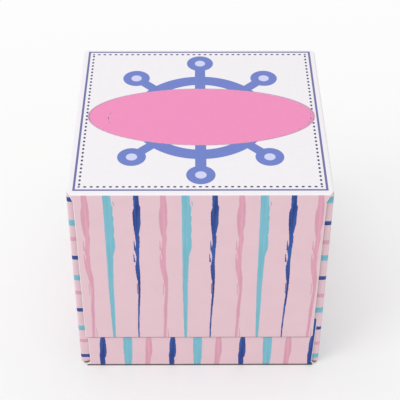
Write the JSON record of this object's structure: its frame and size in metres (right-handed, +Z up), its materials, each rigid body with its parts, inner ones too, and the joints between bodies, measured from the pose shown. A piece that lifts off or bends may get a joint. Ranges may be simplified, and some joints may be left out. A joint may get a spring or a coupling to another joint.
{
  "type": "tissue box",
  "caption": "Small sealed cube carton of facial tissues with striped sides, glued end flaps and an oval tear-out on top.",
  "frame": {"origin": "middle of the bottom panel, where the carton stands", "axes": "+X across the closed ends, +Y from the pictured closed end to the far one, +Z up"},
  "size_m": [0.09, 0.088, 0.0845],
  "materials": {
    "printed_board": "satin printed board"
  },
  "bodies": {
    "root": {"tissue_carton": "printed_board"}
  },
  "joints": []
}
